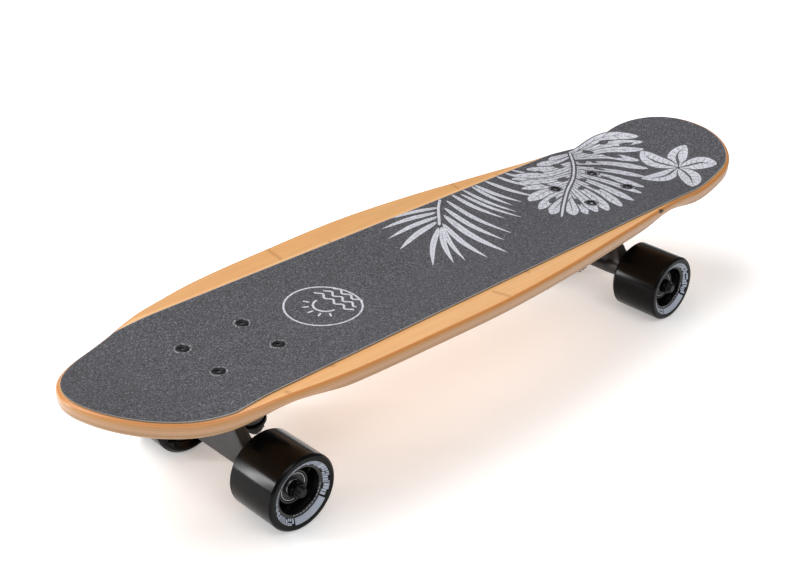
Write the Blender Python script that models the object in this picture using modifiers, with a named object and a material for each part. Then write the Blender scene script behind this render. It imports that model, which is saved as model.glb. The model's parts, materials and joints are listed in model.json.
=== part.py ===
"""Bamboo cruiser skateboard, as an assembly of its real pieces.

Frame: metres, +Z up, +X from the nose to the kicktail.
Origin: on the ground, under the middle of the board.

Each truck is described in its own frame: x points inward, towards the middle of
the board, z points up, and the origin lies on top of the baseplate, in its middle.
The rear truck is the front one turned half a turn about Z.  A baseplate has eight
holes, two bolt patterns in one: the front truck hangs from its outward four and the
rear truck from its inward four, so both stand a little towards the tail.
"""

import math

import bmesh
import bpy
import numpy as np
from mathutils import Matrix, Vector

MM = 0.001
GAP = 0.3 * MM                      # left between pieces that touch

# Deck
DECK_LENGTH = 712 * MM
DECK_THICKNESS = 11.5 * MM
DECK_TOP = 106.1 * MM                # the flat middle of the riding surface
HALF_WIDTHS = (                     # (x, half width) along the deck, in mm
    (-356, 76), (-260, 79), (-190, 90), (-110, 94.8), (-30, 97),
    (50, 92.7), (130, 84.3), (210, 75.3), (290, 70), (356, 66),
)
NOSE_ROUND = (117 * MM, 1.85)       # length and power of the end curve
TAIL_ROUND = (45 * MM, 2.1)
CONCAVE = 0.89                      # rise per square metre of y
NOSE_BEND = (82 * MM, 15.5 * MM)    # length and rise of the upturned nose
TAIL_BEND = (94 * MM, 28 * MM)      # length and rise of the kicktail
BEND_POWER = 1.8
NOSE_FADE = (-236 * MM, -306 * MM)  # where the concave runs out
TAIL_FADE = (219 * MM, 299 * MM)
EDGE_BREAK = 3.0 * MM
TIP_HALF_WIDTH = 7 * MM
WELL_DEPTH = 4.0 * MM               # sanded off under the edge over each wheel
WELL_HALF_LENGTH = 48 * MM
WELL_WIDTH = 26 * MM

# Grip tape
GRIP_THICKNESS = 0.8 * MM
GRIP_GAP = 0.4 * MM
GRIP_HALF_WIDTH = 70.5 * MM
GRIP_MARGIN = 3.5 * MM

# Trucks
TRUCK_SPREAD = 420 * MM             # between the middles of the two bolt patterns
TRUCK_SHIFT = -10.6 * MM            # the bolt patterns sit this far towards the nose
BOLTS_LONG = 53.98 * MM             # 2 1/8 in pattern
BOLTS_WIDE = 41.28 * MM             # 1 5/8 in
PATTERN_STEP = 4.76 * MM            # from a plate's middle to either pattern's middle
RISER_THICKNESS = 3.0 * MM
PLATE = (80 * MM, 56 * MM, 6.5 * MM)
PLATE_CORNER = 9 * MM
AXLE_X = -13.7 * MM                 # the axle lies outward of the plate's middle
HANGER_HALF = 51.7 * MM
AXLE_RADIUS = 4.0 * MM
AXLE_HALF = 87.7 * MM
KINGPIN_X = -2 * MM
KINGPIN_LEAN = math.radians(15)     # from the vertical, its foot inward
KINGPIN_RADIUS = 4.76 * MM          # 3/8 in
HEAD_AT = (3.4 * MM, 8.4 * MM)      # these places are measured along the kingpin
SEAT_AT = 15 * MM
RING_AT = (33.5 * MM, 42.5 * MM)
ROAD_BUSHING_END = 55 * MM
NUT_AT = (57.6 * MM, 65 * MM)
KINGPIN_END = 68 * MM
RING_RADIUS = 15 * MM
BUSHING_RADIUS = 12.5 * MM
PIVOT = (-27 * MM, -12 * MM)        # x and z of the pivot's tip in its cup
PIVOT_RADIUS = 5.5 * MM
STEM_END = 12 * MM                  # how far the pivot's stem runs into the hanger

# Mounting bolts
BOLT_RADIUS = 2.35 * MM
BOLT_HEAD_RADIUS = 4.8 * MM
BOLT_HEAD_DEPTH = 2.7 * MM
LOCK_NUT_HEIGHT = 5 * MM

# Wheels; depths are measured inward from a wheel's outer face
WHEEL_RADIUS = 30.3 * MM
WHEEL_WIDTH = 47 * MM
WHEEL_FACE = 87.7 * MM              # its outer face, from the board's middle
WHEEL_SIDES = 32
CORE_RADIUS = 21.2 * MM
BEARING_DEPTHS = (11 * MM, 28 * MM)
BEARING_RADIUS = 11 * MM
BEARING_WIDTH = 7 * MM
BEARING_BORE = 4.35 * MM
CORE_SIDES = 20
SPOKES = 6

PLATE_Z = DECK_TOP - DECK_THICKNESS - RISER_THICKNESS - 2 * GAP
AXLE_Z = WHEEL_RADIUS - PLATE_Z
ENDS = {                            # x of each truck's middle, and its turn about Z
    "front": (TRUCK_SHIFT + PATTERN_STEP - TRUCK_SPREAD / 2, 0.0),
    "rear": (TRUCK_SHIFT + PATTERN_STEP + TRUCK_SPREAD / 2, math.pi),
}
SIDES = {"left": 1, "right": -1}

FINISHES = {                        # colour, roughness, metallic
    "bamboo": ((0.72, 0.42, 0.17), 0.45, 0.0),
    "grip": ((0.07, 0.07, 0.08), 0.95, 0.0),
    "urethane": ((0.02, 0.02, 0.022), 0.25, 0.0),
    "core": ((0.025, 0.025, 0.03), 0.35, 0.0),
    "cast": ((0.03, 0.03, 0.033), 0.4, 0.6),
    "steel": ((0.5, 0.5, 0.5), 0.3, 1.0),
    "black_steel": ((0.03, 0.03, 0.03), 0.35, 0.8),
    "rubber": ((0.03, 0.03, 0.03), 0.7, 0.0),
}


# ---------------------------------------------------------------- set-up

def clear_scene():
    for old in list(bpy.data.objects):
        bpy.data.objects.remove(old, do_unlink=True)


def new_collection(name):
    collection = bpy.data.collections.new(name)
    bpy.context.scene.collection.children.link(collection)
    return collection


def finish_material(name):
    """Makes the Principled material of one finish, once."""
    if name in bpy.data.materials:
        return bpy.data.materials[name]
    colour, roughness, metallic = FINISHES[name]
    material = bpy.data.materials.new(name)
    material.use_nodes = True
    shader = material.node_tree.nodes["Principled BSDF"]
    shader.inputs["Base Color"].default_value = (*colour, 1)
    shader.inputs["Roughness"].default_value = roughness
    shader.inputs["Metallic"].default_value = metallic
    return material


def add_part(name, mesh, finish, place=None, collection=None):
    part = bpy.data.objects.new(name, mesh)
    (collection or parts).objects.link(part)
    part.matrix_world = place or Matrix()
    if finish:
        mesh.materials.clear()
        mesh.materials.append(finish_material(finish))
    return part


def add_tool(name, mesh, place=None):
    """A cutter, or a lump that is joined to a part by a Boolean."""
    tool = add_part(name, mesh, None, place, cutters)
    tool.hide_render = True
    tool.display_type = "WIRE"
    return tool


def combine(part, tool, operation):
    step = part.modifiers.new(f"{operation.lower()}_{tool.name}", "BOOLEAN")
    step.operation = operation
    step.solver = "EXACT"
    step.object = tool


def mesh_from(bm, name):
    bmesh.ops.recalc_face_normals(bm, faces=bm.faces)
    mesh = bpy.data.meshes.new(name)
    bm.to_mesh(mesh)
    bm.free()
    return mesh


# ---------------------------------------------------------------- shapes

def rod(name, radius, low, high, sides, radius_high=None):
    """A closed cylinder or cone along local Z, from low to high."""
    bm = bmesh.new()
    middle = Matrix.Translation((0, 0, (low + high) / 2)) @ Matrix.Rotation(math.pi / sides, 4, "Z")
    bmesh.ops.create_cone(
        bm, cap_ends=True, segments=sides, radius1=radius,
        radius2=radius if radius_high is None else radius_high, depth=high - low, matrix=middle,
    )
    return mesh_from(bm, name)


def turned(part_name, profile, sides, finish, place, collection=None):
    """Turns a profile of (radius, height) points about local Z.

    A profile that starts and ends on the axis is open; any other is a closed ring.
    It is given with its outer side running from top to bottom.
    """
    mesh = bpy.data.meshes.new(part_name)
    points = [(radius, 0, height) for radius, height in profile]
    edges = [(i, i + 1) for i in range(len(points) - 1)]
    if profile[0][0] > 0:
        edges.append((len(points) - 1, 0))
    mesh.from_pydata(points, edges, [])
    part = add_part(part_name, mesh, finish, place, collection)
    screw = part.modifiers.new("turn", "SCREW")
    screw.steps = sides
    screw.render_steps = sides
    screw.use_merge_vertices = True
    screw.merge_threshold = 0.00001
    return part


def hull(name, points):
    """The convex lump around a set of points."""
    bm = bmesh.new()
    for point in points:
        bm.verts.new(point)
    made = bmesh.ops.convex_hull(bm, input=bm.verts)
    bmesh.ops.delete(bm, geom=list(set(made["geom_interior"] + made["geom_unused"])), context="VERTS")
    return mesh_from(bm, name)


def ring_points(centre, across, radius, count):
    """Points of a circle in the XZ-leaning plane spanned by `across` and Y."""
    angles = [2 * math.pi * i / count for i in range(count)]
    return [centre + across * (radius * math.cos(a)) + Vector((0, radius * math.sin(a), 0)) for a in angles]


def rounded_plate(part_name, finish, place, low, high):
    """A rounded rectangle of the baseplate's size, as a filled and extruded 2D curve."""
    curve = bpy.data.curves.new(part_name, "CURVE")
    curve.dimensions = "2D"
    curve.fill_mode = "BOTH"
    curve.extrude = (high - low) / 2
    spline = curve.splines.new("POLY")
    outline = []
    for quarter in range(4):
        corner_x = (1, -1, -1, 1)[quarter] * (PLATE[0] / 2 - PLATE_CORNER)
        corner_y = (1, 1, -1, -1)[quarter] * (PLATE[1] / 2 - PLATE_CORNER)
        for step in range(3):
            angle = math.pi / 2 * (quarter + step / 2)
            outline.append((
                corner_x + PLATE_CORNER * math.cos(angle), corner_y + PLATE_CORNER * math.sin(angle),
            ))
    spline.points.add(len(outline) - 1)
    for point, (x, y) in zip(spline.points, outline):
        point.co = (x, y, 0, 1)
    spline.use_cyclic_u = True
    sketch = bpy.data.objects.new(part_name + "_sketch", curve)
    parts.objects.link(sketch)
    sketch.matrix_world = place @ Matrix.Translation((0, 0, (low + high) / 2))
    bpy.context.view_layer.update()
    mesh = bpy.data.meshes.new_from_object(sketch.evaluated_get(bpy.context.evaluated_depsgraph_get()))
    bm = bmesh.new()
    bm.from_mesh(mesh)
    bmesh.ops.remove_doubles(bm, verts=bm.verts, dist=0.00001)
    bm.to_mesh(mesh)
    bm.free()
    part = add_part(part_name, mesh, finish, sketch.matrix_world.copy())
    bpy.data.objects.remove(sketch, do_unlink=True)
    return part


# ---------------------------------------------------------------- deck

def smooth_line(points, x):
    """A smooth curve through (x, value) points, with slopes taken from their neighbours."""
    xs, values = np.array(points, float).T * MM
    slopes = np.gradient(values, xs)
    k = np.clip(np.searchsorted(xs, x) - 1, 0, len(xs) - 2)
    step = xs[k + 1] - xs[k]
    u = (x - xs[k]) / step
    return (
        (1 + 2 * u) * (1 - u) ** 2 * values[k] + u * (1 - u) ** 2 * step * slopes[k]
        + u * u * (3 - 2 * u) * values[k + 1] + u * u * (u - 1) * step * slopes[k + 1]
    )


def ease(u):
    """0 before 0, 1 after 1, and smooth between."""
    u = np.clip(u, 0, 1)
    return u * u * (3 - 2 * u)


def half_width(x):
    """The deck's half width: a smooth line closed by a rounded nose and tail."""
    nose = np.clip((NOSE_ROUND[0] - DECK_LENGTH / 2 - x) / NOSE_ROUND[0], 0, 1)
    tail = np.clip((TAIL_ROUND[0] - DECK_LENGTH / 2 + x) / TAIL_ROUND[0], 0, 1)
    closing = 1
    for reach, (_, power) in ((nose, NOSE_ROUND), (tail, TAIL_ROUND)):
        closing = closing * (1 - reach ** power) ** (1 / power)
    return np.maximum(smooth_line(HALF_WIDTHS, x) * closing, TIP_HALF_WIDTH)


def surface_rise(x, y):
    """The riding surface above its flat middle: concave, upturned nose and kicktail."""
    nose = np.clip((NOSE_BEND[0] - DECK_LENGTH / 2 - x) / NOSE_BEND[0], 0, 1)
    tail = np.clip((TAIL_BEND[0] - DECK_LENGTH / 2 + x) / TAIL_BEND[0], 0, 1)
    fade = (1 - ease((x - NOSE_FADE[0]) / (NOSE_FADE[1] - NOSE_FADE[0]))) * (
        1 - ease((x - TAIL_FADE[0]) / (TAIL_FADE[1] - TAIL_FADE[0]))
    )
    return CONCAVE * y ** 2 * fade + NOSE_BEND[1] * nose ** BEND_POWER + TAIL_BEND[1] * tail ** BEND_POWER


def wheel_well(x, y):
    """How much the underside is sanded away towards the edge, over each wheel."""
    depth = 0 * x
    for start, turn in ENDS.values():
        axle = start + AXLE_X * math.cos(turn)
        along = 1 - ease(np.abs(x - axle) / WELL_HALF_LENGTH)
        depth = depth + WELL_DEPTH * along * ease((np.abs(y) - half_width(x) + WELL_WIDTH) / WELL_WIDTH)
    return depth


def stations():
    """Places along the deck: close together at the ends, where it curves most."""
    half = DECK_LENGTH / 2
    near_tip = half - np.array([0, 3, 7, 13, 21, 31, 43, 57, 72, 88, 106]) * MM
    middle = np.linspace(-half + 128 * MM, half - 128 * MM, 21)
    return np.concatenate((-near_tip, middle, near_tip[::-1]))


def loft(name, sections):
    """Joins closed sections of equal point count into a solid with flat ends."""
    count = sections.shape[1]
    verts = sections.reshape(-1, 3)
    faces = []
    for i in range(len(sections) - 1):
        for j in range(count):
            after = (j + 1) % count
            faces.append((i * count + j, i * count + after, (i + 1) * count + after, (i + 1) * count + j))
    faces.append(tuple(range(count))[::-1])
    faces.append(tuple(range((len(sections) - 1) * count, len(sections) * count)))
    mesh = bpy.data.meshes.new(name)
    mesh.from_pydata(verts.tolist(), [], faces)
    bm = bmesh.new()
    bm.from_mesh(mesh)
    return mesh_from(bm, name)


def deck_mesh():
    """Sections across the deck, top and underside, with a broken edge all round."""
    across = np.linspace(-1, 1, 11)
    sections = []
    for x in stations():
        edge = half_width(x)
        to_tip = np.clip(DECK_LENGTH / 2 - abs(x), 0, EDGE_BREAK)
        y = across * (edge - EDGE_BREAK)
        top = DECK_TOP + surface_rise(x, y) - (EDGE_BREAK - to_tip)
        under = DECK_TOP - DECK_THICKNESS + surface_rise(x, y) + wheel_well(x, y) + (EDGE_BREAK - to_tip)
        rim = DECK_TOP + surface_rise(x, edge)
        high = rim - EDGE_BREAK
        low = rim - DECK_THICKNESS + wheel_well(x, edge) + EDGE_BREAK
        sections.append(np.vstack((
            np.column_stack((x + 0 * y, y, top)),
            ((x, edge, high), (x, edge, low)),
            np.column_stack((x + 0 * y, y, under))[::-1],
            ((x, -edge, low), (x, -edge, high)),
        )))
    return loft("deck", np.array(sections))


def grip_mesh():
    """The grip sheet, lying a gap above the deck and straight-sided in the middle."""
    across = np.linspace(-1, 1, 8)
    sections = []
    for x in stations()[1:-1]:
        y = across * min(half_width(x) - GRIP_MARGIN, GRIP_HALF_WIDTH)
        low = DECK_TOP + GRIP_GAP + surface_rise(x, y)
        sections.append(np.vstack((
            np.column_stack((x + 0 * y, y, low + GRIP_THICKNESS)),
            np.column_stack((x + 0 * y, y, low))[::-1],
        )))
    return loft("grip_tape", np.array(sections))


def bolt_places():
    """Name and world position of each mounting bolt, on the riding surface."""
    for end, (start, turn) in ENDS.items():
        corners = ((1, 1), (1, -1), (-1, -1), (-1, 1))
        for number, (sx, sy) in enumerate(corners, 1):
            x = start - PATTERN_STEP + sx * math.cos(turn) * BOLTS_LONG / 2
            y = sy * BOLTS_WIDE / 2
            yield f"{end}_{number}", Vector((x, y, DECK_TOP + float(surface_rise(x, y))))


def make_deck():
    deck = add_part("deck", deck_mesh(), "bamboo")
    grip = add_part("grip_tape", grip_mesh(), "grip")
    for name, place in bolt_places():
        move = Matrix.Translation(place)
        hole = add_tool(f"deck_hole_{name}", rod("hole", BOLT_RADIUS + 0.4 * MM, -20 * MM, 5 * MM, 12), move)
        sink = turned(
            f"deck_sink_{name}",
            ((0, 4 * MM), (BOLT_HEAD_RADIUS + 0.5 * MM, 4 * MM), (BOLT_HEAD_RADIUS + 0.5 * MM, 0.8 * MM),
             (BOLT_RADIUS, -2.4 * MM), (0, -2.4 * MM)),
            12, None, move, cutters,
        )
        sink.hide_render = True
        sink.display_type = "WIRE"
        combine(deck, hole, "DIFFERENCE")
        combine(deck, sink, "DIFFERENCE")
        grip_hole = add_tool(
            f"grip_hole_{name}", rod("hole", BOLT_HEAD_RADIUS + 0.5 * MM, -0.2 * MM, 4 * MM, 12), move)
        combine(grip, grip_hole, "DIFFERENCE")


def make_bolts():
    """Countersunk bolts with a hex socket, and the lock nuts below the baseplates."""
    head_top = GRIP_GAP + GRIP_THICKNESS
    nut_foot = PLATE_Z - PLATE[2] - GAP - LOCK_NUT_HEIGHT
    for name, place in bolt_places():
        move = Matrix.Translation(place)
        tip = nut_foot - 2 * MM - place.z
        bolt = turned(
            f"mounting_bolt_{name}",
            ((0, head_top), (BOLT_HEAD_RADIUS, head_top), (BOLT_HEAD_RADIUS, head_top - 0.4 * MM),
             (BOLT_RADIUS, head_top - BOLT_HEAD_DEPTH), (BOLT_RADIUS, tip), (0, tip)),
            12, "black_steel", move,
        )
        socket = add_tool(
            f"socket_{name}", rod("socket", 1.85 * MM, head_top - 1.8 * MM, head_top + 2 * MM, 6), move)
        combine(bolt, socket, "DIFFERENCE")
        nut_place = Matrix.Translation((place.x, place.y, nut_foot))
        nut = add_part(f"lock_nut_{name}", rod("nut", 5.5 * MM, 0, LOCK_NUT_HEIGHT, 6), "steel", nut_place)
        bore = rod("bore", BOLT_RADIUS + 0.35 * MM, -MM, LOCK_NUT_HEIGHT + MM, 12)
        combine(nut, add_tool(f"nut_bore_{name}", bore, nut_place), "DIFFERENCE")


# ---------------------------------------------------------------- trucks

KINGPIN_DIRECTION = Vector((math.sin(KINGPIN_LEAN), 0, -math.cos(KINGPIN_LEAN)))
KINGPIN_ACROSS = Vector((math.cos(KINGPIN_LEAN), 0, math.sin(KINGPIN_LEAN)))
KINGPIN_START = Vector((KINGPIN_X, 0, 0))
RING_CENTRE = KINGPIN_START + KINGPIN_DIRECTION * (sum(RING_AT) / 2)
PIVOT_POINT = Vector((PIVOT[0], 0, PIVOT[1]))
STEER_DIRECTION = (RING_CENTRE - PIVOT_POINT).normalized()
STEER_ACROSS = Vector((-STEER_DIRECTION.z, 0, STEER_DIRECTION.x))


def frame_along(origin, direction):
    """A place whose local Z runs along `direction` from `origin`."""
    return Matrix.Translation(origin) @ direction.to_track_quat("Z", "Y").to_matrix().to_4x4()


def on_kingpin(distance):
    return KINGPIN_START + KINGPIN_DIRECTION * distance


def make_plates(end, truck):
    """Riser pad and cast baseplate, with its pivot housing and kingpin boss."""
    riser = rounded_plate(f"{end}_riser_pad", "rubber", truck, GAP, GAP + RISER_THICKNESS)
    base = rounded_plate(f"{end}_baseplate", "cast", truck, -PLATE[2], 0)
    root = -PLATE[2] / 2
    boss_root = KINGPIN_START + KINGPIN_DIRECTION * (-root / math.cos(KINGPIN_LEAN))
    boss = hull("boss", ring_points(on_kingpin(SEAT_AT), KINGPIN_ACROSS, 12.5 * MM, 16)
                + ring_points(boss_root, Vector((1, 0, 0)), 13.5 * MM, 16))
    mouth = PIVOT_POINT + STEER_DIRECTION * 3 * MM
    housing = hull("housing", ring_points(mouth, STEER_ACROSS, 10 * MM, 16)
                   + ring_points(Vector((-28.5 * MM, 0, root)), Vector((1, 0, 0)), 11 * MM, 16)
                   + ring_points(PIVOT_POINT - STEER_DIRECTION * 6 * MM, STEER_ACROSS, 8 * MM, 12))
    combine(base, add_tool(f"{end}_boss", boss, truck), "UNION")
    combine(base, add_tool(f"{end}_housing", housing, truck), "UNION")
    kingpin = truck @ frame_along(KINGPIN_START, KINGPIN_DIRECTION)
    recess = rod("recess", 8.9 * MM, -12 * MM, HEAD_AT[1] + GAP, 16)
    hole = rod("hole", KINGPIN_RADIUS + 0.5 * MM, 0, SEAT_AT + 5 * MM, 16)
    cup_bore = rod("cup_bore", 7.9 * MM, -6.9 * MM, 10 * MM, 16)
    combine(base, add_tool(f"{end}_head_recess", recess, kingpin), "DIFFERENCE")
    combine(base, add_tool(f"{end}_kingpin_hole", hole, kingpin), "DIFFERENCE")
    pivot = truck @ frame_along(PIVOT_POINT, STEER_DIRECTION)
    combine(base, add_tool(f"{end}_cup_bore", cup_bore, pivot), "DIFFERENCE")
    for sx in (-1, 1):
        for sy in (-1, 1):
            for step in (-PATTERN_STEP, PATTERN_STEP):
                place = truck @ Matrix.Translation((step + sx * BOLTS_LONG / 2, sy * BOLTS_WIDE / 2, 0))
                drill = rod("drill", BOLT_RADIUS + 0.4 * MM, -12 * MM, 8 * MM, 12)
                tool = add_tool(f"{end}_plate_hole", drill, place)
                combine(base, tool, "DIFFERENCE")
                combine(riser, tool, "DIFFERENCE")


def make_kingpin(end, truck):
    """Kingpin, its nut, the two bushings and their cup washers."""
    place = truck @ frame_along(KINGPIN_START, KINGPIN_DIRECTION)
    shank = KINGPIN_RADIUS
    turned(f"{end}_kingpin", (
        (0, KINGPIN_END), (shank, KINGPIN_END), (shank, HEAD_AT[1]), (8.3 * MM, HEAD_AT[1]),
        (8.3 * MM, HEAD_AT[0]), (0, HEAD_AT[0])), 16, "steel", place)
    nut = add_part(f"{end}_kingpin_nut", rod("nut", 8.25 * MM, *NUT_AT, 6), "black_steel", place)
    bore = rod("bore", shank + 0.35 * MM, NUT_AT[0] - MM, NUT_AT[1] + MM, 16)
    combine(nut, add_tool(f"{end}_nut_bore", bore, place), "DIFFERENCE")
    inside = shank + 0.4 * MM
    wide = BUSHING_RADIUS
    washer_end = SEAT_AT + GAP + 1.6 * MM
    rings = (
        ("washer_board_side", "black_steel", (
            (wide + 0.7 * MM, washer_end), (wide + 0.7 * MM, SEAT_AT + GAP))),
        ("bushing_board_side", "rubber", (
            (wide - 0.8 * MM, RING_AT[0] - GAP), (wide, RING_AT[0] - 3 * MM),
            (wide, washer_end + 3 * MM), (wide - 0.8 * MM, washer_end + GAP))),
        ("bushing_road_side", "rubber", (
            (wide - 3.2 * MM, ROAD_BUSHING_END), (wide - 0.8 * MM, RING_AT[1] + 2 * MM),
            (wide - 0.8 * MM, RING_AT[1] + GAP))),
        ("washer_road_side", "black_steel", (
            (wide - 1.5 * MM, NUT_AT[0] - GAP), (wide - 1.5 * MM, ROAD_BUSHING_END + GAP))),
    )
    for name, finish, outer in rings:
        bore_side = ((inside, outer[-1][1]), (inside, outer[0][1]))
        turned(f"{end}_{name}", outer + bore_side, 16, finish, place)


def make_hanger(end, truck):
    """Cast hanger: axle beam, broad flat web, pivot stem and kingpin ring; and the axle."""
    beam_place = truck @ Matrix.Translation((AXLE_X, 0, AXLE_Z)) @ Matrix.Rotation(-math.pi / 2, 4, "X")
    half = HANGER_HALF
    hanger = turned(f"{end}_hanger", (
        (0, half), (7.4 * MM, half), (8.0 * MM, half - 8 * MM), (9.2 * MM, 18 * MM),
        (9.2 * MM, -18 * MM), (8.0 * MM, 8 * MM - half), (7.4 * MM, -half), (0, -half)),
        16, "cast", beam_place)
    low = AXLE_Z - 8.5 * MM
    outboard = AXLE_X - 8.8 * MM
    web = [Vector((x, sy * y, z)) for sy in (-1, 1) for x, y, z in (
        (outboard, 39.5 * MM, low + 3 * MM), (outboard + 5 * MM, 39.5 * MM, low),
        (outboard + 1 * MM, 37 * MM, AXLE_Z + 6 * MM), (AXLE_X + 6 * MM, 35 * MM, AXLE_Z + 4 * MM),
        (AXLE_X + 4 * MM, 37 * MM, low + 1 * MM),
        (-20.5 * MM, 8 * MM, -20 * MM), (-12 * MM, 8 * MM, -24 * MM))]
    upper = on_kingpin(RING_AT[0] + 0.2 * MM)
    lower = on_kingpin(RING_AT[1] - 0.2 * MM)
    arm = [Vector((AXLE_X + 4 * MM, sy * 21 * MM, AXLE_Z + z)) for sy in (-1, 1) for z in (-6 * MM, 8 * MM)]
    for centre, reach in ((upper, (-20, 20)), (lower, (-40, 0, 40))):
        for angle in reach:
            turn = math.radians(angle)
            arm.append(centre - KINGPIN_ACROSS * (RING_RADIUS * math.cos(turn))
                       + Vector((0, RING_RADIUS * math.sin(turn), 0)))
    arm += [Vector((-15 * MM, sy * 7 * MM, -24 * MM)) for sy in (-1, 1)]
    combine(hanger, add_tool(f"{end}_web", hull("web", web), truck), "UNION")
    combine(hanger, add_tool(f"{end}_arm", hull("arm", arm), truck), "UNION")
    kingpin = truck @ frame_along(KINGPIN_START, KINGPIN_DIRECTION)
    combine(hanger, add_tool(f"{end}_ring", rod("ring", RING_RADIUS, *RING_AT, 20), kingpin), "UNION")
    stem_place = truck @ frame_along(PIVOT_POINT, STEER_DIRECTION)
    stem = turned(f"{end}_pivot_stem", (
        (0, STEM_END), (PIVOT_RADIUS + MM, STEM_END), (PIVOT_RADIUS + MM, 8 * MM), (PIVOT_RADIUS, 6 * MM),
        (PIVOT_RADIUS, -2 * MM), (PIVOT_RADIUS - 2 * MM, -4.6 * MM), (0, -4.6 * MM)),
        16, None, stem_place, cutters)
    stem.hide_render = True
    stem.display_type = "WIRE"
    combine(hanger, stem, "UNION")
    bore = rod("bore", AXLE_RADIUS + 0.35 * MM, -half - 5 * MM, half + 5 * MM, 16)
    ring_hole = rod("ring_hole", 8 * MM, RING_AT[0] - 6 * MM, RING_AT[1] + 6 * MM, 20)
    combine(hanger, add_tool(f"{end}_axle_bore", bore, beam_place), "DIFFERENCE")
    combine(hanger, add_tool(f"{end}_ring_hole", ring_hole, kingpin), "DIFFERENCE")
    add_part(f"{end}_axle", rod("axle", AXLE_RADIUS, -AXLE_HALF, AXLE_HALF, 16), "steel", beam_place)
    turned(f"{end}_pivot_cup", (
        (7.6 * MM, 3.2 * MM), (7.6 * MM, -6.6 * MM), (2 * MM, -6.6 * MM), (2 * MM, -5.1 * MM),
        (PIVOT_RADIUS + 0.35 * MM, -5.1 * MM), (PIVOT_RADIUS + 0.35 * MM, 3.2 * MM)),
        16, "rubber", stem_place)


# ---------------------------------------------------------------- wheels

def wedge(name, low, high):
    """One pocket between two spokes: a six-sided lump between hub and rim."""
    spread = math.radians(19)
    points = []
    for radius, scale in ((15.8 * MM, 0.8), (18.0 * MM, 1.0)):
        for side in (-1, 1):
            angle = side * spread * scale
            points += [Vector((radius * math.cos(angle), radius * math.sin(angle), z)) for z in (low, high)]
    return hull(name, points)


def make_wheel(end, side, truck):
    """Urethane tyre, spoked core, two bearings and the axle nut."""
    name = f"{end}_{side}"
    axle = truck @ Matrix.Translation((AXLE_X, 0, AXLE_Z))
    outward = SIDES[side] * math.cos(ENDS[end][1])
    spin = Matrix.Rotation(-outward * math.pi / 2, 4, "X")
    core_place = axle @ Matrix.Translation((0, outward * WHEEL_FACE, 0)) @ spin
    place = core_place @ Matrix.Rotation(math.pi / WHEEL_SIDES, 4, "Z")
    out = WHEEL_RADIUS / math.cos(math.pi / WHEEL_SIDES)
    wide = WHEEL_WIDTH
    turned(f"tyre_{name}", (
        (26.5 * MM, 0), (out - 1.4 * MM, 0), (out, -1.4 * MM), (out, 3 * MM - wide), (out - 3 * MM, -wide),
        (25.5 * MM, -wide), (CORE_RADIUS + GAP, 4 * MM - wide), (CORE_RADIUS + GAP, -3.2 * MM)),
        WHEEL_SIDES, "urethane", place)
    seat = BEARING_RADIUS + GAP
    near, far = BEARING_DEPTHS
    core = turned(f"core_{name}", (
        (18.4 * MM, -3.6 * MM), (CORE_RADIUS, -3.6 * MM), (CORE_RADIUS, 4.5 * MM - wide),
        (18.6 * MM, 4.5 * MM - wide), (15.2 * MM, -30 * MM), (14.2 * MM, -far - BEARING_WIDTH),
        (seat, -far - BEARING_WIDTH), (seat, -far + GAP), (8.5 * MM, -far + GAP),
        (8.5 * MM, -near - BEARING_WIDTH - GAP), (seat, -near - BEARING_WIDTH - GAP), (seat, -near),
        (14.2 * MM, -near), (15.2 * MM, -14 * MM), (17.0 * MM, -14 * MM)),
        CORE_SIDES, "core", core_place)
    for spoke in range(SPOKES):
        turn = core_place @ Matrix.Rotation(2 * math.pi * spoke / SPOKES, 4, "Z")
        pocket = add_tool(f"pocket_{name}_{spoke}", wedge("pocket", -24 * MM, -8 * MM), turn)
        combine(core, pocket, "DIFFERENCE")
    for which, depth in zip(("outer", "inner"), BEARING_DEPTHS):
        turned(f"bearing_{name}_{which}", (
            (BEARING_RADIUS, -depth), (BEARING_RADIUS, -depth - BEARING_WIDTH),
            (BEARING_BORE, -depth - BEARING_WIDTH), (BEARING_BORE, -depth)), 16, "steel", core_place)
    nut_low = -BEARING_DEPTHS[0] + 1.2 * MM
    hexagon = rod("nut", 7.3 * MM, nut_low, nut_low + 6.3 * MM, 6)
    nut = add_part(f"axle_nut_{name}", hexagon, "black_steel", core_place)
    bore = rod("bore", AXLE_RADIUS + 0.35 * MM, -12 * MM, 0, 16)
    combine(nut, add_tool(f"axle_nut_bore_{name}", bore, core_place), "DIFFERENCE")


# ---------------------------------------------------------------- assembly

clear_scene()
parts = new_collection("cruiser_skateboard")
cutters = new_collection("cutters")
make_deck()
make_bolts()
for truck_end, (start_x, half_turn) in ENDS.items():
    truck_frame = Matrix.Translation((start_x, 0, PLATE_Z)) @ Matrix.Rotation(half_turn, 4, "Z")
    make_plates(truck_end, truck_frame)
    make_kingpin(truck_end, truck_frame)
    make_hanger(truck_end, truck_frame)
    for wheel_side in SIDES:
        make_wheel(truck_end, wheel_side, truck_frame)
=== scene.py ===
"""Looks of a bamboo cruiser skateboard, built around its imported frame.

Metres, +X from the nose to the kicktail, +Z up, but the trucks, wheels and prints are
worked out in millimetres.  Every new piece is a surface of whole arrays: a function of
two parameters, or a profile turned about an axis.
"""

import functools
import json
import math

import bmesh
import bpy
import numpy as np
from mathutils import Matrix, Vector

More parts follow.
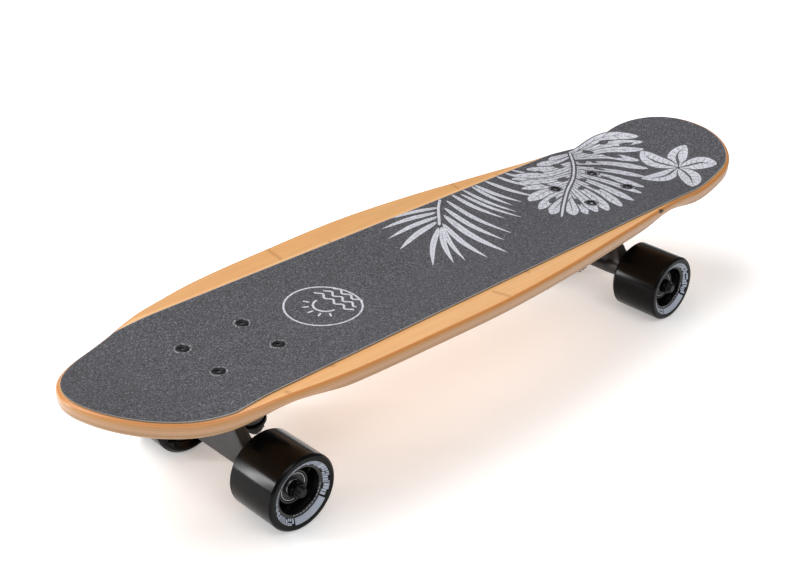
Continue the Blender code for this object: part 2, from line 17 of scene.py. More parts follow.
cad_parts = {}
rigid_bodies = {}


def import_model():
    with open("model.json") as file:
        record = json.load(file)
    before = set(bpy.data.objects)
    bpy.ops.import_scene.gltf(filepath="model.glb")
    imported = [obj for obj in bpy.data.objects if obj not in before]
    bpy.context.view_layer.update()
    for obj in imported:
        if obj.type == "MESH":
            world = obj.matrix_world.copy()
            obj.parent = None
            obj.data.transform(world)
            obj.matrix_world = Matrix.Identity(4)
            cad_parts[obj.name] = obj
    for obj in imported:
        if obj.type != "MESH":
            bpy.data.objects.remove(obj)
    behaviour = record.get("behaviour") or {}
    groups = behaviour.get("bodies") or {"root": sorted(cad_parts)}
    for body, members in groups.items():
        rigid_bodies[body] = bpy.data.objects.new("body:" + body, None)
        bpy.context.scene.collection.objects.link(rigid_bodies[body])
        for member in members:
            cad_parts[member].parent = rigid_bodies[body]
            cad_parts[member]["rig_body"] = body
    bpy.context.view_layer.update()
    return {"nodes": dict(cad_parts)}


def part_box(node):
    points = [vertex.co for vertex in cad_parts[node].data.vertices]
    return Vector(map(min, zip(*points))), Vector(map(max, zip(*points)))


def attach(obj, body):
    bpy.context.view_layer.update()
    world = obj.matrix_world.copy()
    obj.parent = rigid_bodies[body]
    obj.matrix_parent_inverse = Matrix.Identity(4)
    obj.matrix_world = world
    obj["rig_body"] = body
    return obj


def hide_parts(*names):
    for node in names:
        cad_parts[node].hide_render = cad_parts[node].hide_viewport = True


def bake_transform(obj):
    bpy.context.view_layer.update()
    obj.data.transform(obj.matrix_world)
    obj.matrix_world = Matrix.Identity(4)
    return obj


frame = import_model()

MM = 0.001
ENDS = ("front", "rear")
SIDES = {"left": 1, "right": -1}

# Deck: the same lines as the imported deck
HALF_LENGTH = (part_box("deck")[1].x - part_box("deck")[0].x) / 2
DECK_TOP = 106.1 * MM
DECK_THICKNESS = 11.5 * MM
HALF_WIDTHS = (
    (-356, 76), (-260, 79), (-190, 90), (-110, 94.8), (-30, 97),
    (50, 92.7), (130, 84.3), (210, 75.3), (290, 70), (356, 66),
)
NOSE_ROUND = (117 * MM, 1.85)
TAIL_ROUND = (45 * MM, 2.1)
CONCAVE = 0.89
NOSE_BEND = (82 * MM, 15.5 * MM)
TAIL_BEND = (94 * MM, 28 * MM)
BEND_POWER = 1.8
NOSE_FADE = (-236 * MM, -306 * MM)
TAIL_FADE = (219 * MM, 299 * MM)
TIP_HALF_WIDTH = 7 * MM
WELL_DEPTH = 4 * MM
WELL_HALF_LENGTH = 48 * MM
WELL_WIDTH = 26 * MM
EDGE_ROUND = 3.2 * MM
GRIP_LIFT = 0.4 * MM
GRIP_THICKNESS = 0.8 * MM
GRIP_MARGIN = 3.5 * MM
GRIP_HALF_WIDTH = 70.5 * MM
GRIP_ROWS, GRIP_COLUMNS = 430, 91
DECK_COLUMNS = 560
DIP_DEPTH, DIP_RADIUS, DIP_SLOPE = 0.8 * MM, 4.6 * MM, 1.4 * MM
DARK_SPOT_AT = (201 * MM, -76.0 * MM, 109.6 * MM)

# Trucks, in millimetres: places in each truck's own frame, x inward and z up, or along its
# kingpin from the baseplate's top
KINGPIN_X = -2
KINGPIN_WAY = Vector((math.sin(math.radians(15)), 0, -math.cos(math.radians(15))))
KINGPIN_RADIUS = 4.76
SEAT_AT = 15
RING_AT = (33.5, 42.5)
ROAD_BUSHING_END = 55
NUT_AT = (57.6, 65)
KINGPIN_END = 68
BUSHING_RADIUS = 12.5
PIVOT = (-27, -12)
PLATE = (80, 56)
PLATE_CORNER = 9
NUT_SIDES = 72
BOLT_SIDES = 36

# Wheels, in millimetres from the outer face, and degrees round the printed lip
LIP_OUTER = (25.2, -0.15)
LIP_INNER = (20.6, -3.2)
LIP_PRINT = (20.75, 24.9)
SOLID_ARC = (253, 325)
BLOCKS_FROM, BLOCKS_TO = 329.0, 606.0
# Kinds of block: each patch's start and end as shares of the width, and its two radii
BLOCKS = (
    ((0, 1, 20.75, 24.9),), ((0, 1, 23.3, 24.9), (0, 1, 20.75, 22.4)),
    ((0, 0.4, 20.75, 24.9), (0.62, 1, 20.75, 24.9)), ((0, 1, 21.5, 24.9),),
    ((0, 1, 20.75, 23.9),),
)

AXLES = {end: sum(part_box(f"{end}_axle"), Vector()) / 2 for end in ENDS}
BOLTS = {f"{end}_{number}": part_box(f"mounting_bolt_{end}_{number}")
         for end in ENDS for number in range(1, 5)}
BOLT_XY = np.array([((low + high) / 2).xy for low, high in BOLTS.values()])


# -------- mesh helpers

def grid_faces(rows, columns, loop_rows=False, loop_columns=False):
    """Corner numbers of the four-sided faces of a rows by columns grid of points."""
    r = np.arange(rows if loop_rows else rows - 1)[:, None]
    c = np.arange(columns if loop_columns else columns - 1)[None, :]
    next_r, next_c = (r + 1) % rows, (c + 1) % columns
    corners = (r * columns + c, r * columns + next_c,
               next_r * columns + next_c, next_r * columns + c)
    return np.stack(corners, -1).reshape(-1, 4)


def slab(top, under):
    """A thin closed sheet: its upper grid, its lower grid and the strips round the edge."""
    rows, columns = top.shape[:2]
    points = np.concatenate((top, under[:, ::-1]), 1)
    wide = 2 * columns
    c = np.arange(columns - 1)
    cap = np.stack((c, c + 1, wide - 2 - c, wide - 1 - c), -1)
    last = (rows - 1) * wide
    faces = (grid_faces(rows, wide, loop_columns=True), cap[:, ::-1], cap + last)
    return points.reshape(-1, 3), np.concatenate(faces)


def box(node):
    """A CAD node's low and high corners, in millimetres."""
    return [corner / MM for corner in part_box(node)]


def shift(x, y, z):
    """A place moved by millimetres."""
    return Matrix.Translation(Vector((x, y, z)) * MM)


def swept(radius, height, place, closed=True):
    """Rows of radii in millimetres, one for each angle round place's Z, at their heights."""
    rows, sides = radius.shape
    angle = 2 * np.pi * np.arange(sides) / sides
    points = np.stack((radius * np.cos(angle), radius * np.sin(angle),
                       np.repeat(height[:, None], sides, 1)), -1)
    return carried(points * MM, place).reshape(-1, 3), grid_faces(rows, sides, closed, True)


def turned(profile, sides, place, closed=True, cut=0.0, steps=5):
    """A (radius, height) profile in millimetres, its corners cut round, turned about Z."""
    profile = rounded(profile, cut, True, steps) if cut else np.asarray(profile, float)
    return swept(np.repeat(profile[:, :1], sides, 1), profile[:, 1], place, closed)


def carried(points, place):
    """Points moved by a 4 by 4 place."""
    matrix = np.array(place, float)
    return points @ matrix[:3, :3].T + matrix[:3, 3]


def rounded(points, cut, closed=True, steps=5):
    """A line whose corners become short parabolas, from cut before to cut after each."""
    p = np.array(points, float)
    before, after = np.roll(p, 1, 0) - p, np.roll(p, -1, 0) - p
    if not closed:
        before[0], after[-1] = 0, 0
    long_before = np.linalg.norm(before, axis=1)
    long_after = np.linalg.norm(after, axis=1)
    reach = np.minimum(cut, 0.45 * np.minimum(long_before, long_after))[:, None]
    start = p + before / np.maximum(long_before, 1e-9)[:, None] * reach
    end = p + after / np.maximum(long_after, 1e-9)[:, None] * reach
    t = np.linspace(0, 1, steps)[None, :, None]
    arc = (1 - t) ** 2 * start[:, None] + 2 * t * (1 - t) * p[:, None] + t ** 2 * end[:, None]
    return arc.reshape(-1, p.shape[1])


def joined(parts):
    """Several (points, faces) lumps as one."""
    starts = np.cumsum([0] + [len(points) for points, _ in parts])
    faces = [face + start for (_, face), start in zip(parts, starts)]
    return np.concatenate([points for points, _ in parts]), np.concatenate(faces)


def linked(name, data):
    """A new object in the scene."""
    made = bpy.data.objects.new(name, data)
    bpy.context.scene.collection.objects.link(made)
    return made


def piece(name, shape, look, node=None, body=None, marks=None, sharp=35, ride=True):
    """Makes one closed piece at the origin, and hands it to the frame in place of its node.

    marks holds named three-number attributes, one row for each point of the shape.
    """
    points, faces = shape
    mesh = bpy.data.meshes.new(name)
    mesh.from_pydata(points.tolist(), [], faces.tolist())
    for mark, values in (marks or {}).items():
        made = mesh.attributes.new(mark, "FLOAT_VECTOR", "POINT")
        made.data.foreach_set("vector", np.ascontiguousarray(values, np.float32).ravel())
    bm = bmesh.new()
    bm.from_mesh(mesh)
    bmesh.ops.remove_doubles(bm, verts=bm.verts, dist=0.000002)
    bmesh.ops.dissolve_degenerate(bm, edges=bm.edges, dist=0.0000005)
    bmesh.ops.recalc_face_normals(bm, faces=bm.faces)
    bm.to_mesh(mesh)
    bm.free()
    mesh.shade_smooth()
    mesh.set_sharp_from_angle(angle=math.radians(sharp))
    mesh.materials.append(look)
    made = linked(name, mesh)
    if node:
        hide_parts(node)
    if ride:
        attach(made, body or frame["nodes"][node]["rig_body"])
    return made


# -------- material helpers

def colour(code):
    """An sRGB hex colour as linear RGBA."""
    srgb = np.array([int(code[i:i + 2], 16) for i in (1, 3, 5)]) / 255
    linear = np.where(srgb <= 0.04045, srgb / 12.92, ((srgb + 0.055) / 1.055) ** 2.4)
    return (*linear.tolist(), 1.0)


def fill(made, *values, stops=(), **named):
    """Fills in a node and returns it: values go to the sockets it shows, in order.

    A name with a capital is a socket too, and any other is a setting.  A value is a
    number, a hex colour, or a node or an output to link.
    """
    for key, value in named.items():
        if key[0].islower():
            setattr(made, key, value)
    pairs = list(zip([socket for socket in made.inputs if socket.enabled], values))
    pairs += [(made.inputs[key.replace("_", " ")], value) for key, value in named.items()
              if key[0].isupper()]
    for socket, value in pairs:
        if isinstance(value, bpy.types.Node):
            value = next(out for out in value.outputs if out.enabled)
        if isinstance(value, bpy.types.NodeSocket):
            made.id_data.links.new(value, socket)
        else:
            socket.default_value = colour(value) if isinstance(value, str) else value
    for number, (position, code) in enumerate(stops):
        elements = made.color_ramp.elements
        stop = elements[number] if number < 2 else elements.new(position)
        stop.position = position
        stop.color = colour(code) if isinstance(code, str) else (code, code, code, 1)
    return made


def add(tree, kind, *values, **named):
    """Adds a shader node, filled in as fill() says."""
    return fill(tree.nodes.new("ShaderNode" + kind), *values, **named)


def new_look(name, base, roughness, metallic=0.0, ior=1.5, **others):
    """A Principled material, its shader, what adds its nodes, and Object coordinates."""
    look = bpy.data.materials.new(name)
    look.use_nodes = True
    shader = fill(look.node_tree.nodes["Principled BSDF"], Base_Color=base, Roughness=roughness,
                  Metallic=metallic, IOR=ior, **others)
    node = functools.partial(add, look.node_tree)
    return look, shader, node, node("TexCoord").outputs["Object"]


# -------- materials

MIXED = {"data_type": "RGBA"}
TIMES, PLUS, MINUS, OVER, SIZE, PART, LESS, MORE, MOST = (
    {"operation": word} for word in ("MULTIPLY", "ADD", "SUBTRACT", "DIVIDE", "ABSOLUTE", "FRACT",
                                     "LESS_THAN", "GREATER_THAN", "MAXIMUM"))
STRIP_WIDTH = 18.7 * MM
KNUCKLE_SPACING = 210 * MM
PLY_RANGE = 12.0


def bamboo_laminate():
    """Strip-laminated bamboo under clear satin lacquer.

    It shows warm tan strips of slightly different tone, fine fibres along the board,
    knuckle bands across each strip, and the plies as bands along the edge.
    """
    look, shader, node, coords = new_look("lacquered_bamboo", "#DEAA6E", 0.38, Coat_Weight=0.25,
                                          Coat_Roughness=0.22)
    x, y, _ = node("SeparateXYZ", coords).outputs
    strip = node("Math", y, STRIP_WIDTH, **OVER)
    number = node("Math", strip, operation="FLOOR")
    chance = node("TexWhiteNoise", number, noise_dimensions="1D")
    tone = node("ValToRGB", chance, stops=((0, "#CDA06A"), (1, "#DCB283"), (0.5, "#D5A977")))
    fibres = node("TexNoise", node("Mapping", coords, Scale=(22, 620, 620)),
                  Scale=1.0, Detail=4.0, Roughness=0.65)
    streak = node("ValToRGB", fibres, stops=((0.36, 0.0), (0.66, 1.0)))
    tone = node("Mix", node("Math", streak, 0.36, **TIMES), tone, "#B5885A", **MIXED)
    broad = node("TexNoise", node("Mapping", coords, Scale=(5, 46, 46)), Scale=1.0, Detail=2.0)
    tone = node("Mix", node("Math", broad, 0.5, **TIMES), tone, "#C98B46",
                blend_type="SOFT_LIGHT", **MIXED)
    # Knuckles: one thin dark band across each strip
    along = node("Math", node("Math", x, chance, **PLUS), KNUCKLE_SPACING, **OVER)
    knuckle = node("Math", node("Math", node("Math", along, **PART), 0.5, **MINUS), **SIZE)
    band = node("ValToRGB", knuckle, stops=((0.0, 1.0), (0.013, 0.0), (0.004, 0.8)))
    tone = node("Mix", node("Math", band, 0.5, **TIMES), tone, "#9A6530", **MIXED)
    seam = node("Math", node("Math", node("Math", strip, **PART), 0.5, **MINUS), **SIZE)
    line = node("ValToRGB", seam, stops=((0.485, 0.0), (0.5, 1.0)))
    tone = node("Mix", node("Math", line, 0.35, **TIMES), tone, "#A87338", **MIXED)
    # Edge: the plies by their depth in millimetres
    ply = node("Attribute", attribute_name="ply").outputs["Vector"]
    depth, inset, _ = node("SeparateXYZ", ply).outputs
    ripple = node("TexNoise", node("Mapping", coords, Scale=(9, 9, 9)), Scale=1.0)
    level = node("Math", depth, node("Math", ripple, 0.5, **TIMES), **PLUS)
    level = node("Math", level, PLY_RANGE, **OVER)
    plies = node("ValToRGB", level, stops=(
        (0.0, "#C47B33"), (1.0, "#A07A55"), (0.08, "#BE7430"), (0.15, "#C4894E"),
        (0.25, "#BC8850"), (0.34, "#B68452"), (0.36, "#94775A"), (0.385, "#BA8B60"),
        (0.55, "#B88D68"), (0.66, "#A87E54"), (0.69, "#846D56"), (0.72, "#A07646")))
    edge_fibres = node("TexNoise", node("Mapping", coords, Scale=(16, 16, 900)),
                       Scale=1.0, Detail=3.0)
    plies = node("Mix", node("Math", edge_fibres, 0.4, **TIMES), plies, "#A67C50", **MIXED)
    on_edge = node("MapRange", inset, From_Min=3.0, From_Max=2.2, clamp=True)
    tone = node("Mix", on_edge, tone, plies, **MIXED)
    # One small dark spot painted in the right rim, over the rear bolts
    off = node("VectorMath", coords, DARK_SPOT_AT, **MINUS)
    off = node("VectorMath", off, (230, 230, 500), **TIMES)
    reach = node("VectorMath", off, operation="LENGTH")
    reach = node("Math", reach, node("Math", edge_fibres, 0.7, **TIMES), **PLUS)
    dark_spot = node("Math", node("Math", 1.45, reach, **MINUS), 2.2, use_clamp=True, **TIMES)
    grain = node("Math", fibres, node("Math", line, -0.4, **TIMES), **PLUS)
    fill(shader, Base_Color=node("Mix", dark_spot, tone, "#3A2A1C", **MIXED),
         Normal=node("Bump", Height=grain, Strength=0.12, Distance=0.0004))
    return look


def grit_sheet(name, base, light, dark, worn=False):
    """Silicon carbide grit glued to a paper sheet: dull dark grey with bright and black grains.

    Real grains are 0.2 mm; they are drawn about 0.7 mm across so that they show.
    """
    look, shader, node, coords = new_look(name, base, 0.82)
    fine = node("TexNoise", coords, Scale=900.0, Detail=2.0, Roughness=0.7)
    medium = node("TexNoise", coords, Scale=330.0, Detail=3.0, Roughness=0.8)
    grains = node("TexVoronoi", coords, Scale=1250.0).outputs["Color"]
    grain = node("SeparateColor", grains)
    medium = node("ValToRGB", medium, stops=((0.36, 0.0), (0.64, 1.0)))
    tone = node("Mix", medium, dark, base, **MIXED)
    bright = node("ValToRGB", fine, stops=((0.45, 0.0), (0.62, 1.0)))
    tone = node("Mix", node("Math", bright, 0.55, **TIMES), tone, light, **MIXED)
    spark = node("ValToRGB", grain, stops=((0.90, 0.0), (0.94, 1.0)))
    tone = node("Mix", node("Math", spark, 0.9, **TIMES), tone, light, **MIXED)
    if worn:
        patch = node("TexNoise", coords, Scale=620.0, Detail=2.0)
        bare = node("ValToRGB", patch, stops=((0.46, 0.0), (0.56, 1.0)))
        tone = node("Mix", bare, tone, "#3C3C40", **MIXED)
    # The sheet's cut edge shows its pale paper
    rim = node("SeparateXYZ", node("Attribute", attribute_name="rim").outputs["Vector"])
    cut = node("ValToRGB", rim, stops=((0.60, 0.0), (0.76, 0.9)))
    fill(shader, Base_Color=node("Mix", cut, tone, "#A09C98", **MIXED),
         Normal=node("Bump", Height=node("Math", fine, grain, **PLUS), Strength=0.5,
                     Distance=0.0005))
    return look


def printed_ink():
    """Screen-printed ink on grit: pale grey, pitted, with dark veins left unprinted."""
    look, shader, node, coords = new_look("screen_ink_on_grit", "#CDCDD4", 0.75)
    place = node("Attribute", attribute_name="leaf").outputs["Vector"]
    along, across, kind = node("SeparateXYZ", place).outputs
    fine = node("TexNoise", coords, Scale=800.0, Detail=3.0, Roughness=0.7)
    pits = node("ValToRGB", fine, stops=((0.40, 0.0), (0.56, 1.0)))
    tone = node("Mix", pits, "#94949B", "#C6C6CF", **MIXED)
    # The midline is a dark streak that narrows to the tip; side veins lean away from it
    wobble = node("Math", node("TexNoise", coords, Scale=90.0), 0.5, **MINUS)
    wobble = node("Math", wobble, 0.35, **TIMES)
    off = node("Math", node("Math", across, wobble, **PLUS), **SIZE)
    room = node("Math", node("Math", 1.0, along, **MINUS), kind, **TIMES)
    middle = node("Math", off, node("Math", room, 0.16, **TIMES), **LESS)
    slant = node("Math", node("Math", along, 7.0, **TIMES), off, **MINUS)
    rib = node("Math", node("Math", slant, **PART), 0.16, **LESS)
    rib = node("Math", rib, node("Math", off, 0.62, **LESS), **TIMES)
    rib = node("Math", rib, node("Math", kind, 0.55, **MORE), **TIMES)
    vein = node("Math", middle, node("Math", rib, 0.6, **TIMES), use_clamp=True, **MOST)
    # Broad shapes have a dark outline, so that overlapping ones stay apart
    ragged = node("Math", node("Math", across, **SIZE), node("Math", wobble, 0.3, **TIMES), **PLUS)
    outline = node("Math", node("Math", ragged, 0.77, **MORE), node("Math", kind, 0.45, **MORE),
                   **TIMES)
    vein = node("Math", vein, outline, **MOST)
    fill(shader, Base_Color=node("Mix", vein, tone, "#4A4A4E", **MIXED),
         Normal=node("Bump", Height=fine, Strength=0.4, Distance=0.0004))
    return look


def moulded(name, base, roughness, grain=500.0, strength=0.05, spread=0.08, **others):
    """A moulded plastic, urethane or rubber: even colour, faint flow marks and orange peel."""
    look, shader, node, coords = new_look(name, base, roughness, **others)
    flow = node("TexNoise", coords, Scale=60.0, Detail=4.0)
    peel = node("TexNoise", coords, Scale=grain, Detail=2.0)
    fill(shader, Roughness=node("MapRange", flow, To_Min=max(roughness - spread, 0.03),
                                To_Max=roughness + spread),
         Normal=node("Bump", Height=peel, Strength=strength, Distance=0.0003))
    return look


def metal(name, base, roughness, metallic=1.0, strength=0.08):
    """A turned, stamped or plated metal: fine tool marks, and roughness that varies a little."""
    look, shader, node, coords = new_look(name, base, roughness, metallic)
    marks = node("TexNoise", coords, Scale=700.0, Detail=3.0)
    fill(shader, Roughness=node("MapRange", marks, To_Min=roughness * 0.7,
                                To_Max=roughness * 1.3),
         Normal=node("Bump", Height=marks, Strength=strength, Distance=0.0002))
    return look


BAMBOO = bamboo_laminate()
GRIT = grit_sheet("silicon_carbide_grit", "#363639", "#6C6C73", "#262629")
WORN_GRIT = grit_sheet("torn_grit_rim", "#6C6C72", "#A8A8AE", "#48484C", worn=True)
INK = printed_ink()
URETHANE = moulded("cast_urethane", "#070708", 0.16, 240.0, 0.02, 0.03, Specular_IOR_Level=0.12)
WHEEL_INK = moulded("pad_printed_ink", "#A6ADBC", 0.42, 900.0, 0.15)
NYLON = moulded("moulded_nylon_core", "#0A0A0B", 0.22, 700.0, 0.06)
POWDER_COAT = moulded("powder_coated_casting", "#1C1C1E", 0.38, 900.0, 0.22)
RUBBER = moulded("moulded_rubber", "#161617", 0.6, 1100.0, 0.2)
BUSHING = moulded("cast_urethane_bushing", "#121213", 0.3)
SHIELD = moulded("bearing_shield_rubber", "#0C0C0D", 0.35, 900.0, 0.1)
RACE_STEEL = metal("ground_bearing_steel", "#C9CCD0", 0.16)
ZINC = metal("zinc_plated_steel", "#B9BABA", 0.3, strength=0.12)
BLACK_OXIDE = metal("black_oxide_steel", "#17171A", 0.32, 0.75, 0.12)


# -------- deck

def smooth_line(xs, values, x):
    """A smooth curve through values at xs: cubics whose slopes come from the neighbours."""
    slopes = np.gradient(values, xs)
    k = np.clip(np.searchsorted(xs, x) - 1, 0, len(xs) - 2)
    step = xs[k + 1] - xs[k]
    u = (x - xs[k]) / step
    return (
        (1 + 2 * u) * (1 - u) ** 2 * values[k] + u * (1 - u) ** 2 * step * slopes[k]
        + u * u * (3 - 2 * u) * values[k + 1] + u * u * (u - 1) * step * slopes[k + 1]
    )


def ease(u):
    """0 before 0, 1 after 1, and smooth between."""
    u = np.clip(u, 0, 1)
    return u * u * (3 - 2 * u)


def half_width(x):
    """The deck's half width: a smooth line closed by a rounded nose and tail."""
    nose = np.clip((NOSE_ROUND[0] - HALF_LENGTH - x) / NOSE_ROUND[0], 0, 1)
    tail = np.clip((TAIL_ROUND[0] - HALF_LENGTH + x) / TAIL_ROUND[0], 0, 1)
    nose_end = (1 - nose ** NOSE_ROUND[1]) ** (1 / NOSE_ROUND[1])
    tail_end = (1 - tail ** TAIL_ROUND[1]) ** (1 / TAIL_ROUND[1])
    side = smooth_line(*np.array(HALF_WIDTHS).T * MM, x)
    return np.maximum(side * nose_end * tail_end, TIP_HALF_WIDTH)


def surface_rise(x, y):
    """The riding surface above its flat middle: concave, upturned nose and kicktail."""
    nose = np.clip((NOSE_BEND[0] - HALF_LENGTH - x) / NOSE_BEND[0], 0, 1)
    tail = np.clip((TAIL_BEND[0] - HALF_LENGTH + x) / TAIL_BEND[0], 0, 1)
    fade = (1 - ease((x - NOSE_FADE[0]) / (NOSE_FADE[1] - NOSE_FADE[0]))) * (
        1 - ease((x - TAIL_FADE[0]) / (TAIL_FADE[1] - TAIL_FADE[0])))
    bends = NOSE_BEND[1] * nose ** BEND_POWER + TAIL_BEND[1] * tail ** BEND_POWER
    return CONCAVE * y ** 2 * fade + bends


def wheel_well(x, y):
    """How much the underside is sanded away towards the edge, over each wheel."""
    depth = 0 * x
    for axle in AXLES.values():
        along = 1 - ease(np.abs(x - axle.x) / WELL_HALF_LENGTH)
        inward = (np.abs(y) - half_width(x) + WELL_WIDTH) / WELL_WIDTH
        depth = depth + WELL_DEPTH * along * ease(inward)
    return depth


def deck_outline(count):
    """Points evenly spaced round the deck's outline, with their outward directions."""
    u = np.linspace(0, 1, 4001)
    x = -HALF_LENGTH * np.cos(np.pi * u)
    y = half_width(x)
    x = np.concatenate(([-HALF_LENGTH], x, [HALF_LENGTH]))
    y = np.concatenate(([0], y, [0]))
    run = np.concatenate(([0], np.cumsum(np.hypot(np.diff(x), np.diff(y)))))
    at = np.linspace(0, run[-1], count // 2 + 1)
    side = np.stack((np.interp(at, run, x), np.interp(at, run, y)), -1)
    line = np.concatenate((side, side[-2:0:-1] * (1, -1)))
    for _ in range(3):
        line = 0.5 * line + 0.25 * (np.roll(line, 1, 0) + np.roll(line, -1, 0))
    forward = np.roll(line, -1, 0) - np.roll(line, 1, 0)
    outward = np.stack((-forward[:, 1], forward[:, 0]), -1)
    outward /= np.linalg.norm(outward, axis=1)[:, None]
    return line, outward


def make_deck():
    """Rows run from the middle line over the rounded rim to the middle line beneath.

    Each row is (share of the way out, inset, drop from its face).
    """
    line, outward = deck_outline(DECK_COLUMNS)
    middle = line * (0.9, 0)
    upper = [(share, EDGE_ROUND, 0.0) for share in np.linspace(0, 1, 14)[:-1]]
    upper += [(1, EDGE_ROUND * (1 - math.sin(a)), EDGE_ROUND * (1 - math.cos(a)))
              for a in np.linspace(0, np.pi / 2, 7)]
    side = [(1, 0.0, EDGE_ROUND + drop) for drop in np.linspace(0.8, 4.3, 5) * MM]
    rows, marks = [], []
    for number, (share, inset, drop) in enumerate(upper + side + upper[::-1]):
        inner = line - outward * inset
        flat = middle + (inner - middle) * share
        top = DECK_TOP + surface_rise(flat[:, 0], flat[:, 1])
        foot = top - DECK_THICKNESS + wheel_well(flat[:, 0], flat[:, 1])
        beneath = number >= len(upper + side)
        z = foot + drop if beneath else np.maximum(top - drop, foot + EDGE_ROUND)
        rows.append(np.column_stack((flat, z)))
        inward = (1 - share) * np.abs(line[:, 1]) + inset
        marks.append(np.column_stack(((top - z) / MM, inward / MM, 0 * z)))
    points = np.array(rows)
    faces = grid_faces(len(points), len(line), False, True)
    piece("deck_laminate", (points.reshape(-1, 3), faces), BAMBOO, "deck",
          marks={"ply": np.array(marks).reshape(-1, 3)}, sharp=60)


def bolt_dip(x, y):
    """How far the sheet is pressed down round the nearest bolt's head."""
    away = np.stack((x, y), -1)[..., None, :] - BOLT_XY
    near = np.sqrt((away ** 2).sum(-1)).min(-1)
    return DIP_DEPTH * (1 - ease((near - DIP_RADIUS) / DIP_SLOPE))


def grip_top(x, y):
    """Height of the grit's surface."""
    return DECK_TOP + GRIP_LIFT + GRIP_THICKNESS + surface_rise(x, y) - bolt_dip(x, y)


def make_grip():
    """The grit sheet: a grid along and across, its outline a margin inside the deck's."""
    line, outward = deck_outline(1200)
    inner = line - outward * GRIP_MARGIN
    side = inner[inner[:, 1] >= 0]
    side = side[np.argsort(side[:, 0])]
    first, last = side[0, 0] + 0.05 * MM, side[-1, 0] - 0.05 * MM
    u = np.linspace(0, 1, GRIP_ROWS)
    x = first + (last - first) * (0.55 * u + 0.45 * (0.5 - 0.5 * np.cos(np.pi * u)))
    reach = np.minimum(np.interp(x, side[:, 0], side[:, 1]), GRIP_HALF_WIDTH)
    reach[[0, -1]] = 0
    y = np.linspace(-1, 1, GRIP_COLUMNS)[None, :] * reach[:, None]
    x = np.broadcast_to(x[:, None], y.shape)
    top = grip_top(x, y)
    upper = np.stack((x, y, top), -1)
    under = np.stack((x, y, top - GRIP_THICKNESS), -1)
    rim = np.zeros((GRIP_ROWS, 2 * GRIP_COLUMNS, 3))
    rim[:, [0, GRIP_COLUMNS - 1, GRIP_COLUMNS, -1]] = 1
    rim[[0, -1]] = 1
    piece("grip_sheet", slab(upper, under), GRIT, "grip_tape",
          marks={"rim": rim.reshape(-1, 3)}, sharp=50)


# -------- printed artwork

def through(points, count):
    """A smooth curve through points, by their straight-line distance along it."""
    p = np.array(points, float)
    if len(p) == 2:
        p = np.array((p[0], (p[0] + p[1]) / 2, p[1]))
    run = np.concatenate(([0], np.cumsum(np.linalg.norm(np.diff(p, axis=0), axis=1))))
    at = np.linspace(0, run[-1], count)
    return np.stack([smooth_line(run, column, at) for column in p.T], -1)


def stroke(points, width, shape, kind, layer=0, count=28, across=7):
    """A printed stroke in millimetres: a curve from base to tip, widened by shape(u).

    Returns its slab and its (along, across, kind) marks.
    """
    centre = through(points, count)
    forward = np.gradient(centre, axis=0)
    forward /= np.linalg.norm(forward, axis=1)[:, None]
    normal = np.stack((-forward[:, 1], forward[:, 0]), -1)
    u = np.linspace(0, 1, count)
    v = np.linspace(-1, 1, across)
    spread = (width / 2 * shape(u))[:, None, None] * v[None, :, None] * normal[:, None]
    flat = (centre[:, None] + spread) * MM
    top = grip_top(flat[..., 0], flat[..., 1])[..., None]
    upper = np.concatenate((flat, top + (0.10 + 0.02 * layer) * MM), -1)
    under = np.concatenate((flat, top - 0.10 * MM), -1)
    marks = np.stack(np.broadcast_arrays(u[:, None], v[None, :], kind), -1)
    marks = np.concatenate((marks, marks[:, ::-1]), 1).reshape(-1, 3)
    return slab(upper, under), marks


def leaf_shape(u):
    """Narrow at the base, widest at a third, drawn out to a point."""
    return (np.clip(u, 0, 1) ** 0.55 * np.clip(1 - u, 0, 1) ** 0.9) / 0.52


def petal_shape(u):
    """Narrow at the base, widest in the middle, with a pointed tip."""
    return np.clip(u, 0, 1) ** 0.75 * np.clip(1 - u, 0, 1) ** 0.75 / 0.354


def finger_shape(u):
    """A leaf's finger: broad from its base, rounded off at the tip."""
    return np.clip(0.55 + 0.6 * u, 0, 1) * np.clip((1 - u) / 0.25, 0, 1) ** 0.5


def oval_shape(u):
    """An ellipse."""
    return np.sqrt(np.clip(4 * u * (1 - u), 0, 1))


def line_shape(u):
    """A line of even width with rounded ends."""
    return np.clip(np.minimum(u, 1 - u) / 0.03, 0, 1) ** 0.5


def print_piece(name, strokes, look=INK):
    """One printed motif; in another look it covers the ink again."""
    shape = joined([s for s, _ in strokes])
    piece(name, shape, look, body="board",
          marks={"leaf": np.concatenate([m for _, m in strokes])})


def make_frond():
    """A fan of long narrow leaflets on one stem."""
    leaflets = (
        ((58, 60), (10, 70), 6), ((50, 55), (-10, 62), 7), ((46, 49), (-17, 47), 7),
        ((38, 43), (-22, 28), 8), ((32, 35), (-22, -10), 7), ((34, 34), (-6, -18), 7),
        ((36, 34), (4, -22), 6), ((40, 38), (21, -31), 8), ((52, 48), (40, -36), 10),
        ((62, 57), (57, -18), 8), ((73, 65), (72, -13), 7), ((85, 70), (90, 10), 7),
        ((93, 66), (103, 2), 6), ((100, 70), (108, 12), 6), ((112, 70), (115, 23), 6),
        ((116, 70), (127, 22), 7), ((130, 70), (146, 20), 7), ((146, 70), (158, 38), 6),
        ((158, 70), (170, 46), 5), ((168, 70), (180, 53), 4))
    strokes = [stroke(((35, 37), (45, 47), (58, 60), (70, 69.5)), 2.4, line_shape, 0.0, 2)]
    for number, (base, tip, width) in enumerate(leaflets):
        bend = ((tip[1] - base[1]) * 0.035, (base[0] - tip[0]) * 0.035)
        middle = ((base[0] + tip[0]) / 2 + bend[0], (base[1] + tip[1]) / 2 + bend[1])
        strokes.append(stroke((base, middle, tip), width, leaf_shape, 0.4, number % 3))
    print_piece("print_frond", strokes)


